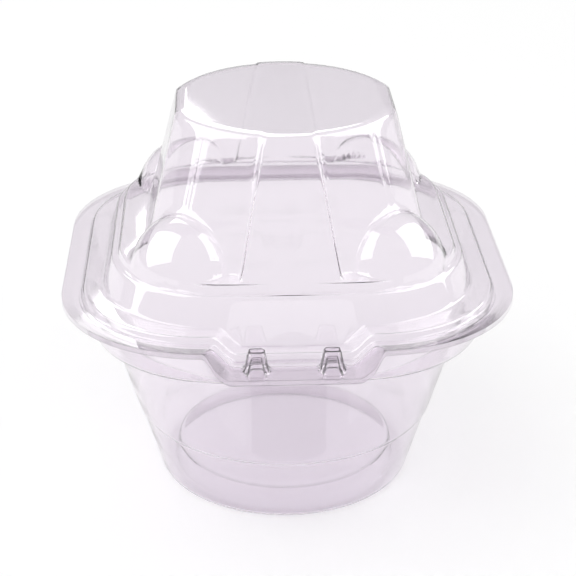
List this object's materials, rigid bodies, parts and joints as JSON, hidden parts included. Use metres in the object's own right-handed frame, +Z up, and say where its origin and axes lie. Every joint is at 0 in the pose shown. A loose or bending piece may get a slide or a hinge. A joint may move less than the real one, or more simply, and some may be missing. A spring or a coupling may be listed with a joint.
{
  "type": "cupcake box",
  "caption": "Clear hinged clamshell box for a cupcake: round tray with a square rim, domed lid with corner bumps, and a front snap tab.",
  "frame": {"origin": "middle of the part's plan outline, on the plane that the foot ring stands on", "axes": "+Z up, +Y to the hinge at the back, -Y to the snap tab at the front, +X to the right seen from the front"},
  "size_m": [0.11, 0.1194, 0.1004],
  "materials": {
    "clear_plastic": "clear gloss"
  },
  "bodies": {
    "tray": {"tray": "clear_plastic"},
    "lid": {"lid": "clear_plastic"}
  },
  "joints": [
    {"name": "lid_hinge", "type": "hinge", "parent": "tray", "child": "lid", "pos_m": [0, 0.06, 0.05815], "axis": [-1, 0, 0], "range_deg": [0, 180]}
  ]
}
